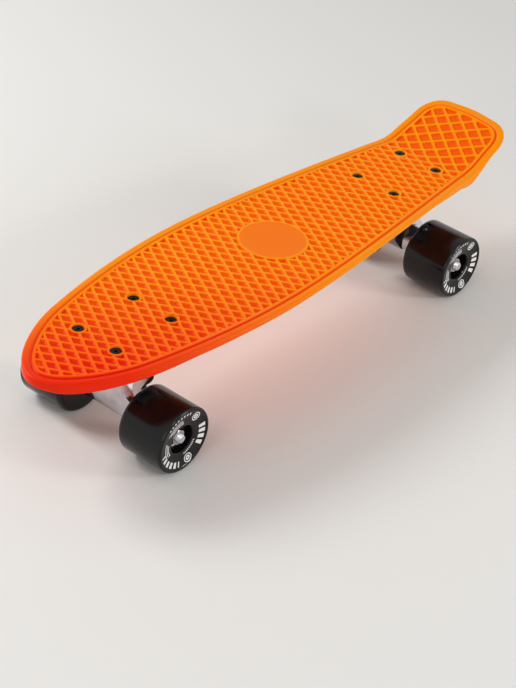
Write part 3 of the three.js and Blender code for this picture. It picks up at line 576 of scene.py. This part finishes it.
def flatShell():
    bm = bmesh.new()
    layer = bm.verts.layers.float.new("paintedShadeShare")
    rings = rimRings()
    loops = []
    for inset, base, rise, paintedShade in rings:
        verts = [bm.verts.new((p.x, p.y, ringHeight(p.x, base, rise))) for p in insetOutline(inset)]
        for vert in verts:
            vert[layer] = max(paintedShade, paintedRimShade(vert.co)) if inset < deckForm["rimBand"] else paintedShade
        loops.append([bm.edges.new((verts[i - 1], verts[i])) for i in range(len(verts))])
        if inset == rings[0][0]:
            bm.faces.new(verts)
    for upper, lower in zip(loops, loops[1:]):
        bmesh.ops.bridge_loops(bm, edges=upper + lower)
    # The underside is a grid that is drawn in to the outline, row by row
    inner = insetOutline(rings[-1][0])
    half = len(inner) // 2
    grid = bmesh.ops.create_grid(bm, x_segments=deckForm["across"], y_segments=half, size=1)
    for vert in grid["verts"]:
        edge = inner[round((vert.co.y + 1) / 2 * half)]
        share = vert.co.x
        depth = undersideDepth(edge.x, abs(share))
        if abs(share) > 0.999:
            depth = min(skirtAt(edge.x), deckForm["shell"])
        vert.co = (edge.x, share * edge.y, deckForm["top"] - depth)
        # painted shade: the underside takes a share of the darker pocket colour
        vert[layer] = deckForm["paintedUnderShade"]
    bmesh.ops.remove_doubles(bm, verts=bm.verts, dist=0.02)
    bmesh.ops.recalc_face_normals(bm, faces=bm.faces)
    return bm


# Grip surface: diamond pockets between two families of straight ribs, drawn out along the tail
waffle = {
    "pitchX": 10.4, "pitchY": 18, "rib": 1.5, "depth": 1.9, "crest": 0.12, "border": 2, "tailStretch": 1.33,
    "chamfer": (0.3, 0.25), "wallRun": 0.3, "floorRound": (0.55, 0.4), "cornerRound": 0.9, "cells": 76,
    "badgeRadius": 30.75, "badgeRise": 0.25, "badgeX": -3.5, "paintedBadgeShade": 0.65, "badgeRim": 2,
    "badgeSink": 0.18, "bossRadius": 7,
}


overDeck = 8  # how far the cutting bodies stand out of the grip surface
underWaffle = 5  # and how far they reach below it


def waffleMould():
    bm = bmesh.new()
    cells = waffle["cells"]
    bmesh.ops.create_grid(bm, x_segments=cells, y_segments=cells, size=cells / 2)
    for vert in bm.verts:
        a, b = vert.co.x, vert.co.y
        x = (a + b + 1) * waffle["pitchX"] / 2
        past = x + deckForm["neckReach"]
        if past < 0:
            x = past * waffle["tailStretch"] - deckForm["neckReach"]
        vert.co = (x, (b - a) * waffle["pitchY"] / 2, 0)
    far = [face for face in bm.faces
           if abs(face.calc_center_median().y) > deckForm["halfWidth"] + waffle["pitchY"] / 2
           or not -deckForm["tailReach"] - waffle["pitchY"] < face.calc_center_median().x
           < deckForm["noseReach"] + waffle["pitchY"]]
    bmesh.ops.delete(bm, geom=far, context="FACES")
    bmesh.ops.recalc_face_normals(bm, faces=bm.faces)
    if bm.faces[:][0].normal.z < 0:
        bmesh.ops.reverse_faces(bm, faces=bm.faces)
    pockets = bm.faces[:]
    chamferRun, chamferDrop = waffle["chamfer"]
    roundRun, roundDrop = waffle["floorRound"]
    wallDrop = waffle["depth"] - chamferDrop - roundDrop
    steps = [(waffle["rib"] / 2, 0), (chamferRun, chamferDrop), (waffle["wallRun"], wallDrop),
             (roundRun, roundDrop)]
    for run, drop in steps:
        bmesh.ops.inset_individual(bm, faces=pockets, thickness=run, depth=-drop, use_even_offset=True)
    corners = [edge for edge in bm.edges if abs(edge.verts[0].co.z - edge.verts[1].co.z) > 0.05]
    bmesh.ops.bevel(bm, geom=corners, offset=waffle["cornerRound"], segments=2, profile=0.5, affect="EDGES",
                    material=-1, clamp_overlap=True)
    # Closed above, so that it cuts as one body
    bmesh.ops.translate(bm, verts=bm.verts, vec=(0, 0, deckForm["top"] - waffle["crest"]))
    border = [edge for edge in bm.edges if len(edge.link_faces) == 1]
    made = bmesh.ops.extrude_edge_only(bm, edges=border)
    bmesh.ops.translate(bm, verts=vertsOf(made), vec=(0, 0, overDeck))
    border = [edge for edge in bm.edges if len(edge.link_faces) == 1]
    bmesh.ops.holes_fill(bm, edges=border, sides=0)
    bmesh.ops.recalc_face_normals(bm, faces=bm.faces)
    return bm


boltPlaces = {}
for end in ends:
    for reach in ("outer", "inner"):
        for side in ("left", "right"):
            node = f"{end}_{reach}_{side}_deck_bolt"
            middle = centreOf(node)
            boltPlaces[node] = (middle.x, middle.y)


def waffleField():
    inset = deckForm["rimBand"] + waffle["border"]
    field = prismBody([(p.x, p.y) for p in insetOutline(inset)], -3, 6)
    keeps = [moved(polygonBody(96, waffle["badgeRadius"], -underWaffle, overDeck), waffle["badgeX"])]
    for x, y in boltPlaces.values():
        boss = polygonBody(40, waffle["bossRadius"], -underWaffle, overDeck)
        keeps.append(moved(boss, x - deckMiddleX, y))
    return combined(field, joined(keeps), "DIFFERENCE")


def camberAt(s):
    along = max(s, -deckForm["neckReach"]) / deckForm["truckX"]
    return deckForm["camber"] * (1 - along * along)


def rolled(s, up):
    radius, neck = deckForm["kickRadius"], deckForm["neckReach"]
    past = max(0, -neck - s)
    angle = min(past / radius, deckForm["kickAngle"])
    straight = past - angle * radius
    x = max(s, -neck) - (radius - up) * math.sin(angle) - straight * math.cos(angle)
    rise = radius * (1 - math.cos(angle)) + straight * math.sin(angle)
    return x, camberAt(s) + rise + up * math.cos(angle)


# Painted shade: vertices in the pockets take the darker pocket colour by their depth, and the badge floor
# takes a set share
def markPaintedPocketShade(bm):
    layer = bm.verts.layers.float["paintedShadeShare"]
    half = insetOutline(deckForm["rimBand"] + waffle["border"])[:len(outline) // 2 + 1]
    for vert in bm.verts:
        x, y, z = vert.co
        level = deckForm["top"] - waffle["crest"] - z
        onBadge = math.hypot(x - waffle["badgeX"], y) < waffle["badgeRadius"] - waffle["badgeRim"]
        # painted shade: the badge floor takes a share of the darker pocket colour
        if level < -waffle["crest"] and onBadge:
            vert[layer] = waffle["paintedBadgeShade"]
        if not 0.1 < level < waffle["depth"] + 0.3 or not half[-1].x < x < half[0].x:
            continue
        edge = next((a.y for a, b in zip(half, half[1:]) if b.x <= x <= a.x), 0)
        if abs(y) < edge + 0.8:
            vert[layer] = min(level / waffle["depth"], 1)


# What each bolt takes out of the deck: shank, countersink and a rounded mouth, [radius, height, rounding]
boltSeat = [[0, -20], [2.8, -20], [2.8, -3.05], [5.05, -0.8], [5.25, 0], [5.25, 0.9], [5.9, 1.5, 0.2],
            [5.9, 9], [0, 9]]


def deckBody():
    mould = combined(waffleMould(), waffleField(), "INTERSECT")
    bm = combined(flatShell(), mould, "DIFFERENCE")
    top = deckForm["top"] + waffle["badgeRise"]
    floor = top - waffle["badgeSink"]
    radius = waffle["badgeRadius"]
    badge = spunBody([[0, 0], [radius - 0.4, 0], [radius - 0.4, top, 0.2], [radius - 1.9, top, 0.15],
                      [radius - 2.3, floor, 0.15], [0, floor]], 96)
    bm = combined(bm, moved(badge, waffle["badgeX"]), "UNION")
    # Cut across, closely at the kick, so that the flat faces can bend
    cuts = [-deckForm["neckReach"] - step * 1.5 for step in range(15)]
    cuts += [-deckForm["tailReach"] + step * 22 for step in range(27)]
    for x in cuts:
        everything = bm.verts[:] + bm.edges[:] + bm.faces[:]
        bmesh.ops.bisect_plane(bm, geom=everything, plane_co=(x, 0, 0), plane_no=(1, 0, 0))
    markPaintedPocketShade(bm)
    for vert in bm.verts:
        x, z = rolled(vert.co.x, vert.co.z)
        vert.co.x = x
        vert.co.z = max(z, 0.05 - deckForm["padDepth"])
    seats, holes = [], []
    for sign in ends.values():
        height = deckForm["seatHeight"]
        seat = blockBody(deckForm["seatLength"], deckForm["seatWidth"], height, deckForm["seatCorner"])
        seats.append(moved(seat, sign * deckForm["truckX"], 0, height / 2 - deckForm["padDepth"]))
    for x, y in boltPlaces.values():
        holes.append(moved(spunBody(boltSeat, 32), x - deckMiddleX, y))
    bm = combined(bm, joined(seats), "UNION")
    bm = combined(bm, joined(holes), "DIFFERENCE")
    return moved(bm, deckMiddleX, 0, boltPlaneZ)


deckPiece = deckBody()
print("deck made:", len(deckPiece.faces), "faces,", openEdges(deckPiece), "open edges")
finishPiece(deckPiece, "deckMoulding", "board", "deck", ["deck"], smoothAngle=28)


# Deck hardware: flat-head bolts with a cross recess, and lock nuts under the base plates

deckBolt = {"radius": 2.5, "headRadius": 4.75, "headHeight": 2.75, "land": 0.5, "tip": 22.25, "pitch": 0.8,
            "recess": (1.15, 4.9, 1.9)}
lockNut = {"flats": 8, "height": 3.5, "collar": 1.5, "collarRadius": 3.5, "chamfer": 0.7, "ease": 0.15}


def threadProfile(radius, start, stop, pitch):  # [radius, height] points of a thread, cut as rings
    steps = max(2, round(abs(stop - start) / pitch * 2))
    depth = pitch * 0.45
    step = (stop - start) / steps
    return [[radius - (depth if i % 2 else 0), start + step * i] for i in range(steps + 1)]


def deckBoltBody():
    size = deckBolt
    foot = -size["tip"]
    bm = spunBody([[0, foot], [size["radius"] - 0.5, foot]]
                  + threadProfile(size["radius"], foot + 0.5, foot + 8, size["pitch"])
                  + [[size["radius"], -size["headHeight"]], [size["headRadius"], -size["land"]],
                     [size["headRadius"], -0.12], [size["headRadius"] - 0.3, 0], [0, 0]], 32)
    width, length, depth = size["recess"]
    arms = []
    for turn in (0, math.pi / 2):
        arm = blockBody(length, width, 2 * depth)
        for vert in arm.verts:  # the recess narrows to its floor
            if vert.co.z < 0:
                vert.co.x *= 0.35
        if turn:
            bmesh.ops.rotate(arm, verts=arm.verts, cent=(0, 0, 0), matrix=Matrix.Rotation(turn, 3, "Z"))
        arms.append(arm)
    cross = combined(arms[0], arms[1], "UNION")
    return combined(bm, cross, "DIFFERENCE")


def nutBody(size, boltRadius):
    corner = size["flats"] / math.sqrt(3)
    height, chamfer = size["height"], size["chamfer"]
    hexagon = polygonBody(6, corner, 0, height)
    # Slightly larger than the hexagon, to cut its corners only
    turned = spunBody([[0, -0.01], [corner - chamfer, -0.01], [corner + 0.05, chamfer],
                       [corner + 0.05, height - chamfer], [corner - chamfer, height + 0.01],
                       [0, height + 0.01]], 36)
    bm = combined(hexagon, turned, "INTERSECT")
    collarTop = height + size["collar"]
    collar = spunBody([[0, height / 2], [size["collarRadius"], height / 2],
                       [size["collarRadius"], collarTop, 0.5], [boltRadius + 0.9, collarTop - 0.1],
                       [boltRadius + 0.6, collarTop - 0.6], [0, collarTop - 0.6]], 36)
    bm = combined(bm, collar, "UNION")
    return combined(bm, polygonBody(32, boltRadius + 0.2, -5, collarTop + 5), "DIFFERENCE")


def placed(x, y, z, flip=False):
    turn = Matrix.Rotation(math.pi if flip else 0, 4, "X")
    return Matrix.Translation((x, y, z)) @ turn


turnShare = 0.37  # of a half turn: the recesses and nuts stand at different angles, as they were tightened
for index, (node, (x, y)) in enumerate(boltPlaces.items()):
    name = node.replace("_deck_bolt", "")
    spin = Matrix.Rotation(index * turnShare * math.pi, 4, "Z")
    finishPiece(deckBoltBody(), name + "_flat_head_bolt", "board", "black_hardware", [node],
                placed(x, y, boltPlaneZ) @ spin)
    top = boxOf(name + "_lock_nut")[1].z
    finishPiece(eased(nutBody(lockNut, deckBolt["radius"]), lockNut["ease"]), name + "_nylon_nut", "board",
                "black_hardware", [name + "_lock_nut"], placed(x, y, top, True) @ spin)
print("deck bolts made:", len(boltPlaces))


# Trucks

axleForm = {"radius": 4, "tip": 75.5, "chamfer": 0.75, "thread": 12, "pitch": 1.25}
axleNut = {"flats": 12.5, "height": 5.7, "collar": 0.8, "collarRadius": 5.25, "chamfer": 0.7, "ease": 0.2}
kingpinForm = {"radius": 4.75, "x": -30, "pitch": 1.25, "thread": 14, "headRadius": 8.5, "headHeight": 6}
kingpinNut = {"flats": 14, "height": 6, "collar": 2, "collarRadius": 6, "chamfer": 1, "ease": 0.25}
castingEase = {"base": 0.7, "hanger": 0.9}  # the rounding of the castings' edges
bushingForm = {"radius": 11, "neck": 9, "taper": 8.25, "bore": 5.05, "squashed": 0.87}
speedWasher = {"inner": 4.3, "outer": 7, "thick": 1}
cupForm = {"radius": 12.25, "thick": 1, "rim": 2.25, "wall": 1, "bore": 5.05}


def castCopy(node, width, segments=3):  # a packed casting with its faces cleaned and its edges rounded
    bm = bmesh.new()
    bm.from_mesh(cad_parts[node].data)
    bmesh.ops.scale(bm, verts=bm.verts, vec=(1 / mm, 1 / mm, 1 / mm))
    bmesh.ops.remove_doubles(bm, verts=bm.verts, dist=0.01)
    bmesh.ops.dissolve_limit(bm, angle_limit=math.radians(1.5), verts=bm.verts, edges=bm.edges)
    return eased(bm, width, segments, 24)


def axleBody():
    size = axleForm
    threadStart = size["tip"] - size["thread"]
    half = [[size["radius"], threadStart]]
    half += threadProfile(size["radius"], threadStart, size["tip"] - size["chamfer"], size["pitch"])
    half += [[size["radius"] - size["chamfer"], size["tip"]], [0, size["tip"]]]
    return spunBody([[r, -z] for r, z in reversed(half)] + half, 40)


def kingpinBody(foot, top):
    size = kingpinForm
    under = top - size["headHeight"]
    stem = spunBody([[0, foot], [size["radius"] - 0.8, foot]]
                    + threadProfile(size["radius"], foot + 0.8, foot + size["thread"], size["pitch"])
                    + [[size["radius"], under + 1], [0, under + 1]], 40)
    head = eased(polygonBody(6, size["headRadius"], under, top), 0.4)
    return combined(stem, head, "UNION")


def cupWasherBody():
    size = cupForm
    outer, inner = size["radius"], size["radius"] - size["wall"]
    return spunBody([[size["bore"], 0], [inner, 0, 0.5], [outer, size["rim"], 0.2],
                     [inner, size["rim"], 0.2], [inner - 0.3, size["thick"], 0.4],
                     [size["bore"], size["thick"]]], 48)


def barrelBody(height):  # the upper bushing, waisted at both ends
    size = bushingForm
    return spunBody([[size["bore"], 0], [size["neck"], 0, 0.5], [size["radius"] - 0.7, height * 0.2, 0.8],
                     [size["radius"], height * 0.5, 1.5], [size["radius"] - 0.7, height * 0.8, 0.8],
                     [size["neck"], height, 0.5], [size["bore"], height]], 56)


def coneBody(height):  # the lower bushing, narrow at its foot
    size = bushingForm
    return spunBody([[size["bore"], 0], [size["taper"], 0, 0.5], [size["radius"], height - 2.6, 1.2],
                     [size["radius"] - 0.4, height - 1, 0.6], [size["neck"], height, 0.4],
                     [size["bore"], height]], 56)


wheelForm = {
    "radius": 29.5, "width": 46.5, "outerFace": 78.25, "lip": 4.5, "crest": 2.2, "hubRadius": 12.5,
    "backDish": 4.5, "boreRadius": 9, "seat": 11.1, "seatDepth": 7.3, "steps": 96,
    # the dished outer face, [radius, depth under the lip], from the lip in
    "dish": [[26.8, 0.04], [26.2, 0.3], [25.7, 0.75], [24, 1.15], [20, 1.85], [16.5, 2.3], [14, 2.55],
             [13, 2.8], [12.5, 3.4]],
}
bearingForm = {
    "outer": 11, "inner": 4.35, "width": 7, "raceOuter": 9.5, "raceInner": 6.1,
    "shieldDip": 0.45, "shieldGap": 0.12, "beadInner": 7.2, "beadOuter": 8.6, "beadDip": 0.25,
}


def arcPoints(centreR, centreZ, radius, start, stop, steps):
    angles = [math.radians(start + (stop - start) * i / steps) for i in range(steps + 1)]
    return [[centreR + radius * math.cos(a), centreZ + radius * math.sin(a)] for a in angles]


def wheelBody(innerSeat, outerSeat):  # heights are distances from the middle of the board
    size = wheelForm
    face, back = size["outerFace"], size["outerFace"] - size["width"]
    radius, lip = size["radius"], size["lip"]
    seatTop = outerSeat + bearingForm["width"]
    profile = arcPoints(radius - lip, back + lip, lip, -90, 0, 8)
    profile += arcPoints(radius - size["crest"], face - size["crest"], size["crest"], 0, 90, 8)
    profile += [[r, face - depth] for r, depth in size["dish"]]
    outerFloor, innerFloor = seatTop - size["seatDepth"], innerSeat + size["seatDepth"]
    hub, backFloor = size["hubRadius"], back + size["backDish"]
    profile += [
        [hub - 0.2, seatTop + 0.9], [size["seat"], seatTop], [size["seat"], outerFloor],
        [size["boreRadius"], outerFloor], [size["boreRadius"], innerFloor], [size["seat"], innerFloor],
        [size["seat"], innerSeat], [hub, backFloor], [hub + 0.6, backFloor - 0.6],
    ]
    bm = spunBody(profile, size["steps"])
    layer = bm.loops.layers.uv.new("facePrint")
    for part in bm.faces:
        middle = part.calc_center_median()
        outside = middle.z > face - size["dish"][-1][1] and part.normal.z > 0.7
        for loop in part.loops:
            loop[layer].uv = loop.vert.co.xy if outside else (0, 0)
    return bm


def bearingRings():
    size = bearingForm
    high = size["width"]
    outer = spunBody([[size["raceOuter"], 0], [size["outer"], 0, 0.35], [size["outer"], high, 0.35],
                      [size["raceOuter"], high]], 64)
    inner = spunBody([[size["inner"], 0, 0.3], [size["raceInner"], 0], [size["raceInner"], high],
                      [size["inner"], high, 0.3]], 48)
    return joined([outer, inner])


def bearingShield():
    size = bearingForm
    low, high = size["shieldDip"], size["width"] - size["shieldDip"]
    hole, dip = size["raceInner"] + size["shieldGap"], size["beadDip"]
    return spunBody([[hole, low], [size["beadInner"], low + dip], [size["beadOuter"], low + dip],
                     [size["raceOuter"], low], [size["raceOuter"], high], [size["beadOuter"], high - dip],
                     [size["beadInner"], high - dip], [hole, high]], 64)


def washerBody():
    inner, outer, thick = speedWasher["inner"], speedWasher["outer"], speedWasher["thick"]
    return spunBody([[inner, 0], [outer, 0, 0.2], [outer, thick, 0.2], [inner, thick]], 48)


def ontoAxle(end, side, y=0.0):  # from +Z to the left or right end of the axle
    turn = Matrix.Rotation(math.radians(-90 if side > 0 else 90), 4, "X")
    return Matrix.Translation(axleCentre[end]) @ turn @ Matrix.Translation((0, 0, y))


for end in ends:
    place = truckPlace(end)
    axleZ = axleCentre[end].z
    hangerBody = end + "_hanger_assembly"
    finishPiece(castCopy(end + "_base_plate", castingEase["base"]), end + "_base_plate_casting", "board",
                "polished_aluminium", [end + "_base_plate"])
    finishPiece(castCopy(end + "_hanger", castingEase["hanger"]), end + "_hanger_casting", hangerBody,
                "polished_aluminium", [end + "_hanger"])
    onKingpin = place @ Matrix.Translation((kingpinForm["x"], 0, 0))
    low, high = boxOf(end + "_kingpin")
    finishPiece(kingpinBody(low.z - axleZ, high.z - axleZ), end + "_kingpin_bolt", "board",
                "black_hardware", [end + "_kingpin"], onKingpin)
    low, high = boxOf(end + "_kingpin_nut")
    finishPiece(eased(nutBody(kingpinNut, kingpinForm["radius"]), kingpinNut["ease"]),
                end + "_kingpin_lock_nut", "board", "black_hardware", [end + "_kingpin_nut"],
                onKingpin @ placed(0, 0, high.z - axleZ, True))
    low, high = boxOf(end + "_upper_cup_washer")
    finishPiece(cupWasherBody(), end + "_upper_cup", "board", "black_hardware",
                [end + "_upper_cup_washer"], onKingpin @ placed(0, 0, high.z - axleZ, True))
    low, high = boxOf(end + "_lower_cup_washer")
    finishPiece(cupWasherBody(), end + "_lower_cup", "board", "black_hardware",
                [end + "_lower_cup_washer"], onKingpin @ placed(0, 0, low.z - axleZ))
    for node, body, fixed in (("upper_bushing", barrelBody, "top"), ("lower_bushing", coneBody, "foot")):
        low, high = boxOf(f"{end}_{node}")
        piece = finishPiece(body(high.z - low.z), f"{end}_{node}_urethane", "board", "bushing",
                            [f"{end}_{node}"], onKingpin @ placed(0, 0, low.z - axleZ))
        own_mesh(piece)
    finishPiece(axleBody(), end + "_axle_rod", hangerBody, "bright_steel", [end + "_axle"],
                ontoAxle(end, 1))
    for sideName, side in (("left", 1), ("right", -1)):
        name = f"{end}_{sideName}"
        wheelSet = name + "_wheel_set"
        seats = {}
        for which in ("inner", "outer"):
            low, high = boxOf(f"{name}_{which}_bearing")
            seats[which] = min(abs(low.y), abs(high.y))
            where = ontoAxle(end, side, seats[which])
            node = f"{name}_{which}_bearing"
            finishPiece(bearingRings(), node + "_races", wheelSet, "bright_steel", [node], where)
            finishPiece(bearingShield(), node + "_shield", wheelSet, "bearing_shield", [node], where)
        finishPiece(wheelBody(seats["inner"], seats["outer"]), name + "_cast_wheel", wheelSet,
                    "wheel_urethane", [name + "_wheel"], ontoAxle(end, side), smoothAngle=24)
        low, high = boxOf(name + "_speed_washer")
        washerY = min(abs(low.y), abs(high.y))
        finishPiece(washerBody(), name + "_thin_washer", hangerBody, "bright_steel",
                    [name + "_speed_washer"], ontoAxle(end, side, washerY))
        low, high = boxOf(name + "_axle_nut")
        nutY = min(abs(low.y), abs(high.y))
        finishPiece(eased(nutBody(axleNut, axleForm["radius"]), axleNut["ease"]), name + "_axle_lock_nut",
                    hangerBody, "bright_steel", [name + "_axle_nut"], ontoAxle(end, side, nutY))
    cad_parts[end + "_pivot_cup"].data.materials.clear()
    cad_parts[end + "_pivot_cup"].data.materials.append(materials["blackRubber"])
    print(end, "truck made")


# Floor, light and camera

stageForm = {"floorSize": 12, "floor": "#e9e7e3", "background": "#efedea", "sky": 0.4}


def makeFloor():
    bm = bmesh.new()
    bmesh.ops.create_grid(bm, x_segments=1, y_segments=1, size=stageForm["floorSize"] / 2)
    floor = objectOf("floor", bm)
    look = {"Base Color": linear(stageForm["floor"]), "Roughness": 0.6}
    floor.data.materials.append(newMaterial("paleFloor", look)[0])


def makeWorld():
    world = bpy.data.worlds.new("softRoom")
    bpy.context.scene.world = world
    world.use_nodes = True
    tree = world.node_tree
    tree.nodes.clear()
    room = addNode(tree, "ShaderNodeBackground", {
        "Color": linear("#ffffff"), "Strength": stageForm["sky"]})
    seen = addNode(tree, "ShaderNodeBackground", {
        "Color": linear(stageForm["background"]), "Strength": 1})
    ray = addNode(tree, "ShaderNodeLightPath")
    mirrored = addNode(tree, "ShaderNodeMath", {"operation": "ADD", "use_clamp": True}, {
        0: ray.outputs["Is Glossy Ray"], 1: ray.outputs["Is Transmission Ray"]})
    looked = addNode(tree, "ShaderNodeMath", {"operation": "ADD", "use_clamp": True}, {
        0: ray.outputs["Is Camera Ray"], 1: mirrored.outputs[0]})
    mix = addNode(tree, "ShaderNodeMixShader", links={
        0: looked.outputs[0], 1: room.outputs[0], 2: seen.outputs[0]})
    addNode(tree, "ShaderNodeOutputWorld", links={"Surface": mix.outputs[0]})


# Soft boxes: [place in metres, size, power]
lamps = {
    "keyBox": ((0.5, -1.3, 1.15), 0.6, 17.5),
    "nearBox": ((-0.75, 1.5, 0.7), 0.4, 10),
    "edgeBox": ((0.3, 1.5, 0.95), 0.22, 3),
    "noseBox": ((1.35, 0.35, 0.6), 0.6, 3),
}


def makeLamps():
    for name, (where, size, power) in lamps.items():
        data = bpy.data.lights.new(name, "AREA")
        data.size = size
        data.energy = power
        lamp = bpy.data.objects.new(name, data)
        lamp.location = where
        lamp.rotation_euler = (Vector((0, 0, 0.08)) - Vector(where)).to_track_quat("-Z", "Y").to_euler()
        bpy.context.scene.collection.objects.link(lamp)


# The camera that the bolt heads, wheels and badge of the photograph gave; aim is on the bolt plane
view = {"azimuth": 127.09, "elevation": 34.74, "roll": 6.01, "distance": 1607.88, "aim": (120.82, 89.76),
        "focalPixels": 2034.73, "longSide": 688, "sensor": 36}


def makeCamera():
    azimuth, elevation, roll = (math.radians(view[key]) for key in ("azimuth", "elevation", "roll"))
    back = Vector((math.sin(azimuth) * math.cos(elevation), -math.cos(azimuth) * math.cos(elevation),
                   math.sin(elevation)))
    right = (-back).cross(Vector((0, 0, 1))).normalized()
    up = right.cross(-back)
    right, up = (math.cos(roll) * right + math.sin(roll) * up,
                 math.cos(roll) * up - math.sin(roll) * right)
    aim = Vector((view["aim"][0] + deckMiddleX, view["aim"][1], boltPlaneZ))
    data = bpy.data.cameras.new("photoCamera")
    data.sensor_width = view["sensor"]
    data.lens = view["focalPixels"] * view["sensor"] / view["longSide"]
    data.clip_end = 50
    camera = bpy.data.objects.new("photoCamera", data)
    turn = Matrix((right, up, back)).transposed().to_4x4()
    camera.matrix_world = Matrix.Translation((aim + back * view["distance"]) * mm) @ turn
    bpy.context.scene.collection.objects.link(camera)
    bpy.context.scene.camera = camera


makeFloor()
makeWorld()
makeLamps()
makeCamera()
bpy.context.scene.view_settings.view_transform = "Standard"
print("stage made")
